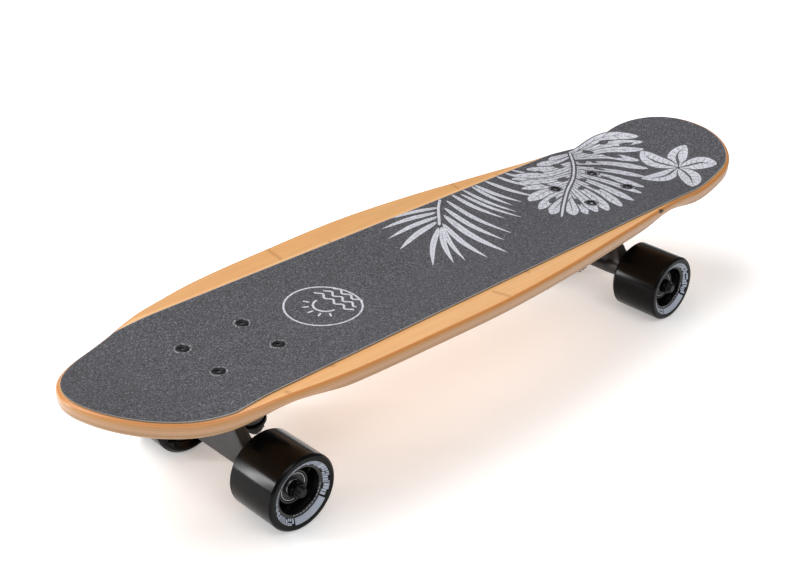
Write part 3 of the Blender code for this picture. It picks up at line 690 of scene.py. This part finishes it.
# Fingers of the split leaf: base, middle and tip on the deck, and width, in millimetres
FINGERS = (
    ((246, 61), (300, 62), (316, 33), 17), ((244, 59), (291, 50), (311, 24), 14),
    ((241, 54), (278, 46), (302, 15), 13), ((239, 53), (271, 35), (283, 7), 14),
    ((231, 45), (259, 24), (275, -9), 13), ((224, 39), (245, 13), (258, -18), 12),
    ((219, 35), (232, 6), (236, -33), 13), ((214, 31), (222, 0), (222, -40), 11),
    ((209, 27), (210, -5), (202, -45), 12), ((201, 22), (199, -10), (184, -46), 13),
    ((194, 18), (185, -13), (168, -43), 14), ((186, 13), (173, -13), (159, -37), 14),
    ((177, 9), (163, -13), (149, -34), 12), ((168, 3), (153, -13), (139, -27), 15),
    ((243, 61), (230, 62), (215, 64), 9), ((238, 58), (217, 58), (196, 63), 12),
    ((228, 47), (206, 49), (181, 63), 13), ((221, 41), (193, 44), (160, 62), 13),
    ((215, 36), (186, 42), (154, 58), 12), ((208, 30), (180, 36), (152, 50), 12),
    ((199, 24), (176, 28), (147, 40), 12), ((189, 18), (166, 22), (133, 20), 17),
    ((180, 12), (158, 11), (127, 2), 14), ((167, 3), (147, -3), (127, -12), 15),
)
# Its oval holes: both ends and width
HOLES = (
    ((287, 59), (295, 54), 9), ((295, 41), (305, 31), 5), ((262, 60), (266, 49), 9),
    ((272, 43), (278, 24), 7), ((209, 55), (215, 45), 9), ((185, 55), (190, 49), 5),
    ((187, 30), (200, 28), 8), ((238, 46), (241, 39), 8), ((247, 38), (251, 32), 4),
    ((207, 20), (209, 13), 8), ((191, 9), (193, 3), 9), ((202, 7), (202, -8), 4),
    ((228, 12), (229, -7), 4), ((237, 27), (243, 16), 4), ((170, 37), (173, 28), 4),
    ((170, -5), (161, -16), 6), ((159, 10), (144, 4), 5),
)


def make_split_leaf():
    """A broad split leaf: fingers down both sides of a bowed midrib, and oval holes."""
    rib = ((247, 64), (227, 43), (208, 28), (176, 10), (154, -4), (128, -22))
    strokes = [stroke(rib, 2.0, line_shape, 0.0, 6, 60, 3)]
    for number, (base, middle, tip, width) in enumerate(FINGERS):
        strokes.append(stroke((base, middle, tip), width, finger_shape, 0.7, number % 3, 22))
    print_piece("print_split_leaf", strokes)
    gaps = [stroke(rib, 5.5, line_shape, 0.0, 5, 60, 3)]
    gaps += [stroke((start, end), width, oval_shape, 0.0, 5, 16, 5) for start, end, width in HOLES]
    print_piece("bare_grit_gaps", gaps, GRIT)


def make_flower():
    """Five rounded petals round a dark middle."""
    centre = np.array((293.0, -31.0))
    tips = ((325, -15), (315, -58), (270, -62), (252, -18), (298, 16))
    strokes = []
    for number, tip in enumerate(tips):
        reach = np.array(tip) - centre
        side = np.array((-reach[1], reach[0])) * 0.12
        points = (centre + reach * 0.04, centre + reach * 0.55 + side, centre + reach)
        strokes.append(stroke(points, 24.0, petal_shape, 1.1, number % 3, 30, 9))
    print_piece("print_flower", strokes)


def make_badge():
    """A plain thin ring round a half sun and three waves."""
    turn = np.linspace(0, 2 * np.pi, 73)
    ring = np.array((-132.0, 0)) + 30 * np.stack((np.cos(turn), np.sin(turn)), -1)
    strokes = [stroke(ring, 1.5, lambda u: 1 + 0 * u, 0.0, 0, 120, 3)]
    for step in range(3):
        y = np.linspace(-21 + 2.5 * step, 21 - 2.5 * step, 40)
        x = -121 + 7.5 * step + 1.8 * np.sin(y * 0.55 + step)
        strokes.append(stroke(np.stack((x, y), -1), 1.8, line_shape, 0.0, 0, 60, 3))
    arc = np.linspace(-np.pi / 2, np.pi / 2, 30)
    sun = np.array((-129.0, 0))
    rim = sun + 10 * np.stack((-np.cos(arc), np.sin(arc)), -1)
    strokes.append(stroke(rim, 1.8, line_shape, 0.0, 0, 40, 3))
    for ray in np.radians((-60, -30, 0, 30, 60)):
        way = np.array((-np.cos(ray), np.sin(ray)))
        strokes.append(stroke((sun + 13 * way, sun + 18.5 * way), 1.6, line_shape, 0.0, 0, 12, 3))
    print_piece("print_badge", strokes)


# -------- fasteners

def hexagon_reach(width, angle):
    """Distance from a hexagon's middle to its side at each angle."""
    return width / 2 / np.cos((angle + np.pi / 6) % (np.pi / 3) - np.pi / 6)


def nut(width, bore, wide, low, high, chamfer, place):
    """A bored hexagon between two heights, its corners turned down at both rims.

    The radius is the smaller of the hexagon's and the profile's, at every angle and height.
    """
    profile = np.array(((bore, low), (wide - chamfer, low), (wide, low + chamfer * 0.55),
                        (wide, high - chamfer * 0.55), (wide - chamfer, high), (bore, high)))
    angle = 2 * np.pi * np.arange(NUT_SIDES) / NUT_SIDES
    radius = np.minimum(profile[:, :1], hexagon_reach(width, angle)[None])
    return swept(radius, profile[:, 1], place)


def threads(radius, low, high, pitch, depth=0.45):
    """(radius, height) points of a ridged rod, from low to high."""
    count = int((high - low) / pitch) * 2
    height = np.linspace(low, high, count + 1)
    return np.stack((radius - depth * (np.arange(count + 1) % 2), height), -1)


def make_bolts():
    """Countersunk bolts with a hex socket, the torn grit round them, and the lock nuts."""
    angle = 2 * np.pi * np.arange(BOLT_SIDES) / BOLT_SIDES
    socket = hexagon_reach(3.3, angle)
    for name, (low, high) in BOLTS.items():
        middle = (low + high) / 2
        place = Matrix.Translation((middle.x, middle.y, high.z))
        foot = (low.z - high.z) / MM
        head = rounded(((1.9, 0.18), (4.3, 0.34), (4.8, 0.0), (2.35, -2.5)), 0.35, False, 4)
        shaft = threads(2.35, foot + 0.5, foot + 22, 0.8, 0.3)
        solid = np.concatenate((head, shaft[::-1], ((1.7, foot), (0, foot))))
        radius = np.concatenate(((0 * socket, socket, socket),
                                 np.repeat(solid[:, :1], BOLT_SIDES, 1)))
        height = np.concatenate(((-2.0, -2.0, 0.05), solid[:, 1]))
        piece(f"countersunk_bolt_{name}", swept(radius, height, place, False), BLACK_OXIDE,
              f"mounting_bolt_{name}")
        torn = turned(((5.0, -0.7), (5.1, 0.20), (5.8, 0.45), (6.4, 0.35), (7.1, -0.2),
                       (6.2, -0.9)), 40, place, cut=0.3, steps=4)
        x, y, z = torn[0].T
        wave = 0.10 * MM * np.sin(37 * np.arctan2(y - middle.y, x - middle.x))
        torn[0][:, 2] += (surface_rise(x, y) - surface_rise(middle.x, middle.y)
                          + wave * (z > high.z))
        piece(f"torn_grit_{name}", torn, WORN_GRIT, body="board")
        low, high = box(f"lock_nut_{name}")
        place = shift((low.x + high.x) / 2, (low.y + high.y) / 2, 0)
        body = nut(9.5, 2.45, 5.5, low.z + 1.3, high.z, 0.9, place)
        collar = turned(((2.45, low.z), (3.9, low.z), (4.5, low.z + 1.6), (2.45, low.z + 1.6)),
                        36, place, cut=0.5)
        piece(f"nyloc_nut_{name}", joined((body, collar)), ZINC, f"lock_nut_{name}")


# -------- trucks

def truck_place(end):
    """The truck's own frame, from its riser pad: x inward, z up from the baseplate's top."""
    low, high = box(f"{end}_riser_pad")
    turn = 0 if end == "front" else math.pi
    return shift((low.x + high.x) / 2, 0, low.z - 0.3) @ Matrix.Rotation(turn, 4, "Z")


def kingpin_place(truck):
    """Local Z runs down the kingpin, from its crossing with the baseplate's top."""
    turn = KINGPIN_WAY.to_track_quat("Z", "Y").to_matrix().to_4x4()
    return truck @ shift(KINGPIN_X, 0, 0) @ turn


def make_riser(end, truck):
    """A moulded pad with softened rims; rows go over the top, the side and beneath."""
    corner = np.array(((1, 1), (-1, 1), (-1, -1), (1, -1)))
    centre = corner * (PLATE[0] / 2 - PLATE_CORNER, PLATE[1] / 2 - PLATE_CORNER)
    angle = np.arange(4)[:, None] * np.pi / 2 + np.linspace(0, np.pi / 2, 9)[None]
    way = np.stack((np.cos(angle), np.sin(angle)), -1)
    line, way = (centre[:, None] + way * PLATE_CORNER).reshape(-1, 2), way.reshape(-1, 2)
    low, high = (corner.z - truck.translation.z / MM for corner in box(f"{end}_riser_pad"))
    rows = ((0, 9, high), (0.5, 0.6, high), (1, 0.6, high), (1, 0.15, high - 0.15),
            (1, 0, high - 0.6), (1, 0, low + 0.6), (1, 0.15, low + 0.15),
            (1, 0.6, low), (0.5, 0.6, low), (0, 9, low))
    points = np.array([np.column_stack(((line - way * inset) * share, np.full(len(line), z)))
                       for share, inset, z in rows])
    points = carried(points * MM, truck).reshape(-1, 3)
    piece(f"riser_pad_{end}", (points, grid_faces(len(rows), len(line), False, True)),
          RUBBER, f"{end}_riser_pad")


def cast_copy(name, node, rounds):
    """A casting's skin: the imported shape, remeshed evenly and smoothed so that edges soften."""
    source = frame["nodes"][node]
    bm = bmesh.new()
    bm.from_mesh(source.data)
    bmesh.ops.remove_doubles(bm, verts=bm.verts, dist=0.000005)
    mesh = bpy.data.meshes.new(name)
    bm.to_mesh(mesh)
    bm.free()
    made = linked(name, mesh)
    remesh = made.modifiers.new("even", "REMESH")
    remesh.mode = "VOXEL"
    remesh.voxel_size = 0.8 * MM
    remesh.use_smooth_shade = True
    soften = made.modifiers.new("soften", "SMOOTH")
    soften.factor = 0.5
    soften.iterations = rounds
    bpy.context.view_layer.update()
    final = bpy.data.meshes.new_from_object(
        made.evaluated_get(bpy.context.evaluated_depsgraph_get()))
    made.modifiers.clear()
    made.data = final
    final.name = name
    final.materials.clear()
    final.materials.append(POWDER_COAT)
    final.shade_smooth()
    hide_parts(node)
    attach(made, source["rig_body"])


def rows_between(profile, step):
    """A closed profile with points added, so that no side is longer than step."""
    after = np.roll(profile, -1, 0)
    run = np.linalg.norm(after - profile, axis=1)
    shares = [np.linspace(0, 1, max(math.ceil(r / step), 1), endpoint=False) for r in run]
    return np.concatenate([p + (q - p) * s[:, None] for p, q, s in zip(profile, after, shares)])


def make_kingpin(end, truck):
    """Kingpin, its nut, two urethane bushings and their cupped washers."""
    place = kingpin_place(truck)
    shank = KINGPIN_RADIUS
    thread = threads(shank, 48, KINGPIN_END - 1, 1.1)
    outline = np.concatenate((
        ((0, 3.4), (6.9, 3.4), (8.2, 4.2), (8.3, 8.4), (shank, 8.4)), thread,
        ((shank - 0.9, KINGPIN_END), (0, KINGPIN_END))))
    piece(f"kingpin_{end}", turned(outline, 40, place, False), ZINC, f"{end}_kingpin")
    low, high = NUT_AT
    bore = shank + 0.1
    body = nut(14.3, bore, 8.25, low, high - 1.8, 1.1, place)
    collar = turned(((bore, high - 2.2), (7.0, high - 2.2), (6.3, high), (bore, high)), 40,
                    place, cut=0.6)
    piece(f"kingpin_lock_nut_{end}", joined((body, collar)), BLACK_OXIDE,
          f"{end}_kingpin_nut")
    inside, wide, gap = shank + 0.4, BUSHING_RADIUS, 0.3
    seat = SEAT_AT + gap
    cup = seat + 1.6
    last, first = RING_AT[0] - gap, RING_AT[1] + gap
    bushings = {
        "board_side": (cup, last, (
            (inside, cup + gap), (wide - 1.4, cup + gap), (wide, cup + 3), (wide + 0.2, 25),
            (wide, RING_AT[0] - 3), (wide - 1.4, last), (inside, last))),
        "road_side": (ROAD_BUSHING_END, first, (
            (inside, first), (wide - 1.2, first), (wide - 0.6, RING_AT[1] + 2.5),
            (wide - 3.2, ROAD_BUSHING_END), (inside, ROAD_BUSHING_END))),
    }
    for which, (start, finish, outline) in bushings.items():
        outline = rows_between(rounded(outline, 1.6, True, 6), 1.2)
        made = piece(f"bushing_{which}_{end}", turned(outline, 48, place), BUSHING,
                     f"{end}_bushing_{which}", ride=False)
        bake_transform(made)
    under, end_up = NUT_AT[0] - gap, ROAD_BUSHING_END
    washers = {
        "board_side": ((inside, seat), (wide + 0.2, seat), (wide + 0.9, seat + 0.7),
                       (wide + 0.9, seat + 3.0), (wide + 0.35, seat + 3.0), (wide + 0.1, cup),
                       (inside, cup)),
        "road_side": ((inside, under), (wide - 2.0, under), (wide - 1.5, under - 0.6),
                      (wide - 1.5, end_up - 0.8), (wide - 2.1, end_up - 0.8),
                      (wide - 2.3, end_up + gap), (inside, end_up + gap)),
    }
    for which, outline in washers.items():
        piece(f"cup_washer_{which}_{end}", turned(outline, 48, place, cut=0.3, steps=4),
              BLACK_OXIDE, f"{end}_washer_{which}")


def make_pivot_cup(end, truck):
    """A cup of hard rubber round the hanger's pivot."""
    pivot = Vector((PIVOT[0], 0, PIVOT[1]))
    ring = Vector((KINGPIN_X, 0, 0)) + KINGPIN_WAY * (sum(RING_AT) / 2)
    turn = (ring - pivot).to_track_quat("Z", "Y").to_matrix().to_4x4()
    cup = turned(((7.6, 3.2), (7.6, -6.6), (2, -6.6), (2, -5.1), (5.85, -5.1), (5.85, 3.2)), 40,
                 truck @ shift(*pivot) @ turn, cut=0.4)
    piece(f"pivot_cup_{end}", cup, RUBBER, f"{end}_pivot_cup")


def make_axle(end):
    """Steel axle, threaded at both ends, with a nut, a washer and chamfers."""
    low, high = box(f"{end}_axle")
    middle, half = (low + high) / 2, (high.y - low.y) / 2
    radius = 3.95
    thread = threads(radius, half - 13, half - 1.0, 1.06, 0.4)
    outline = np.concatenate((((0, -half), (radius - 0.9, -half)), thread[::-1] * (1, -1),
                              thread, ((radius - 0.9, half), (0, half))))
    place = shift(*middle) @ Matrix.Rotation(-math.pi / 2, 4, "X")
    piece(f"axle_rod_{end}", turned(outline, 40, place, False), BLACK_OXIDE, f"{end}_axle")
    for side, sign in SIDES.items():
        node = f"axle_nut_{end}_{side}"
        near, far = sorted(abs(corner.y) for corner in box(node))
        place = shift(middle.x, 0, middle.z) @ Matrix.Rotation(-sign * math.pi / 2, 4, "X")
        body = nut(12.6, 4.0, 7.25, near, far - 1.9, 0.8, place)
        collar = turned(((4.0, far - 2.2), (6.1, far - 2.2), (5.6, far), (4.0, far)), 40, place,
                        cut=0.7)
        piece(f"axle_lock_nut_{end}_{side}", joined((body, collar)), BLACK_OXIDE, node)
        washer = turned(((4.1, near - 1.1), (5.9, near - 1.1), (5.9, near - 0.1),
                         (4.1, near - 0.1)), 40, place, cut=0.2)
        piece(f"speed_washer_{end}_{side}", washer, ZINC,
              body=frame["nodes"][node]["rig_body"])


# -------- wheels

def lip_height(radius):
    """Height of the printed lip, which slopes in from the side face to the core."""
    share = (LIP_OUTER[0] - radius) / (LIP_OUTER[0] - LIP_INNER[0])
    return LIP_OUTER[1] + (LIP_INNER[1] - LIP_OUTER[1]) * share


def sector(place, start, stop, inner, outer, height=lip_height, lift=0.06):
    """A printed patch between two angles in degrees and two radii, on height(radius)."""
    count = max(int((stop - start) / 3), 1) + 1
    angle = np.radians(np.linspace(start, stop, count))[:, None]
    radius = np.linspace(inner, outer, 3)[None, :]
    z = height(radius) + 0 * angle
    flat = (radius * np.cos(angle), radius * np.sin(angle))
    points, faces = slab(np.stack((*flat, z + lift), -1), np.stack((*flat, z - 0.1), -1))
    return carried(points * MM, place), faces


def wheel_print(place, seed):
    """A solid arc over a third of the lip, and plain blocks and bars round the rest."""
    draw = np.random.default_rng(seed)
    patches = [sector(place, *SOLID_ARC, *LIP_PRINT)]
    angle = BLOCKS_FROM
    while angle < BLOCKS_TO:
        wide = float(draw.uniform(3.2, 5.4))
        for first, last, inner, outer in BLOCKS[int(draw.integers(0, 5))]:
            patches.append(sector(place, angle + wide * first, angle + wide * last, inner, outer))
        angle += wide + float(draw.uniform(0.8, 1.9))
    return joined(patches)


def spoke(place, turn):
    """A rib from hub to rim: an oval section that swells at both ends."""
    rows, sides = 12, 20
    u = np.linspace(0, 1, rows)[:, None]
    v = 2 * np.pi * np.arange(sides) / sides
    half_wide = 2.1 * (1 + 1.3 * np.abs(2 * u - 1) ** 3)
    half_deep = 6.0 + 1.6 * np.abs(2 * u - 1) ** 2
    c, s = np.cos(v), np.sin(v)
    squircle = (np.abs(c) ** 3 + np.abs(s) ** 3) ** (-1 / 3)
    points = np.stack((13.2 + 6.6 * u + 0 * v, half_wide * (c * squircle),
                       -17.5 - u + half_deep * (s * squircle)), -1)
    ends = points.mean(1, keepdims=True)[[0, -1]]
    points = np.concatenate((np.repeat(ends[:1], sides, 1), points,
                             np.repeat(ends[1:], sides, 1)))
    points = carried(points * MM, place @ Matrix.Rotation(turn, 4, "Z"))
    return points.reshape(-1, 3), grid_faces(rows + 2, sides, False, True)


def make_bearing(name, which, near, place, body):
    """A 608 bearing from its outer face at near: bright rings and two rubber shields."""
    far = near - 7
    outer_ring = turned(((11.0, near), (10.5, near), (10.3, near - 0.5), (10.3, far + 0.5),
                         (10.5, far), (11.0, far)), 72, place, cut=0.3)
    inner_ring = turned(((6.0, near), (4.3, near), (4.3, far), (6.0, far), (6.2, far + 0.6),
                         (6.2, near - 0.6)), 72, place, cut=0.3)
    piece(f"bearing_rings_{name}_{which}", joined((outer_ring, inner_ring)), RACE_STEEL,
          f"bearing_{name}_{which}")
    shields = [turned(((10.35, z), (9.4, z + bulge), (6.9, z + bulge), (6.25, z), (6.25, z - 0.5),
                       (10.35, z - 0.5)), 72, place, cut=0.15)
               for z, bulge in ((near - 0.55, 0.25), (far + 1.05, -0.75))]
    piece(f"bearing_shields_{name}_{which}", joined(shields), SHIELD, body=body)


def make_wheel(end, side, seed):
    """Cast tyre with a printed lip, spoked core, and two shielded bearings.

    The wheel's local Z points out of it, from the middle of its outer face.
    """
    name, sign = f"{end}_{side}", SIDES[side]
    low, high = box(f"tyre_{name}")
    radius, width = (high.z - low.z) / 2, high.y - low.y
    place = Matrix.Translation((AXLES[end].x, (high.y if sign > 0 else low.y) * MM, AXLES[end].z))
    place = place @ Matrix.Rotation(-sign * math.pi / 2, 4, "X")
    body = frame["nodes"][f"tyre_{name}"]["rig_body"]
    tyre = turned((
        LIP_OUTER, (26.9, 0), (radius - 1.6, 0), (radius, -1.6), (radius, 3 - width),
        (radius - 3, -width), (25.5, -width), (21.5, 4 - width), (21.5, -3.6), LIP_INNER),
        128, place, cut=0.5, steps=8)
    piece(f"tyre_cast_{name}", tyre, URETHANE, f"tyre_{name}")
    piece(f"lip_print_{name}", wheel_print(place, seed), WHEEL_INK, body=body)
    rim = turned((
        (18.3, -4.2), (19.6, -3.4), (21.3, -3.4), (21.3, 4.4 - width), (18.7, 4.4 - width),
        (17.2, -26), (17.2, -14)), 96, place, cut=1.0)
    hub = turned((
        (14.2, -11.2), (14.8, -35.2), (11.35, -35.2), (11.35, -27.8), (8.6, -27.6),
        (8.6, -18.4), (11.35, -18.2), (11.35, -10.8), (12.6, -10.2)), 72, place, cut=0.6)
    spokes = [spoke(place, 2 * math.pi * i / 6 + 0.35) for i in range(6)]
    piece(f"core_spoked_{name}", joined([rim, hub] + spokes), NYLON, f"core_{name}")
    dashes = [sector(place, start, start + 5.5, 18.75, 19.35, lambda r: 0 * r - 3.72, 0.05)
              for start in range(250, 352, 9)]
    piece(f"core_dashes_{name}", joined(dashes), WHEEL_INK, body=body)
    make_bearing(name, "outer", -11, place, body)
    make_bearing(name, "inner", -28, place, body)


# -------- assembly

make_deck()
make_grip()
make_badge()
make_frond()
make_split_leaf()
make_flower()
make_bolts()
wheel_seed = 11
for truck_end in ENDS:
    truck_frame = truck_place(truck_end)
    make_riser(truck_end, truck_frame)
    make_kingpin(truck_end, truck_frame)
    make_pivot_cup(truck_end, truck_frame)
    cast_copy(f"cast_baseplate_{truck_end}", f"{truck_end}_baseplate", 6)
    cast_copy(f"cast_hanger_{truck_end}", f"{truck_end}_hanger", 10)
    make_axle(truck_end)
    for wheel_side in SIDES:
        wheel_seed += 1
        make_wheel(truck_end, wheel_side, wheel_seed)


# -------- studio

FLOOR_REACH = 9.0
GLOW = 0.32             # of the walls round the studio and of its floor


def soft_light(name, place, aim, size, power):
    """A white rectangular softbox at place, turned to face aim."""
    lamp = bpy.data.lights.new(name, "AREA")
    lamp.shape = "RECTANGLE"
    lamp.size, lamp.size_y = size
    lamp.energy = power
    lit = linked(name, lamp)
    lit.location = place
    lit.rotation_mode = "QUATERNION"
    lit.rotation_quaternion = (Vector(aim) - Vector(place)).to_track_quat("-Z", "Y")


def make_studio():
    """A wide pale floor, a soft overhead key, a tall strip at the left and a low fill."""
    look, shader, node, coords = new_look("matte_floor", "#F4F4F4", 0.9)
    marks = node("TexNoise", coords, Scale=3.0, Detail=2.0)
    fill(shader, Base_Color=node("Mix", marks, "#F3F3F3", "#F6F6F6", **MIXED),
         Emission_Color="#FFFFFF", Emission_Strength=GLOW)
    mesh = bpy.data.meshes.new("floor")
    corners = [(x * FLOOR_REACH, y * FLOOR_REACH, 0)
               for x, y in ((-1, -1), (1, -1), (1, 1), (-1, 1))]
    mesh.from_pydata(corners, [], [(0, 1, 2, 3)])
    mesh.materials.append(look)
    linked("floor", mesh)
    world = bpy.data.worlds.new("studio")
    world.use_nodes = True
    fill(world.node_tree.nodes["Background"], Color="#FFFFFF", Strength=GLOW)
    bpy.context.scene.world = world
    middle = (0.0, 0.0, 0.08)
    soft_light("overhead", (-0.5, 0.9, 2.1), middle, (2.4, 1.6), 55)
    soft_light("left_strip", (-2.05, 1.45, 0.75), (-0.2, -0.1, 0.05), (0.16, 1.2), 26)
    soft_light("camera_fill", (-0.6, -1.7, 2.1), middle, (1.8, 1.2), 20)
    bpy.context.scene.view_settings.view_transform = "Standard"


def make_camera():
    """Looks along +X and +Y, down onto the board from beyond its nose."""
    data = bpy.data.cameras.new("camera")
    data.lens = 58.60
    data.sensor_width = 36.0
    data.clip_start = 0.01
    camera = linked("camera", data)
    right = Vector((0.70696, -0.70679, 0.0256))
    down = Vector((-0.31887, -0.35083, -0.88048))
    forward = Vector((0.6313, 0.6143, -0.4734))
    turn = Matrix((right, -down, -forward)).transposed()
    camera.matrix_world = Matrix.Translation((-0.70953, -0.64273, 0.58786)) @ turn.to_4x4()
    bpy.context.scene.camera = camera


make_studio()
make_camera()

bpy.context.view_layer.update()
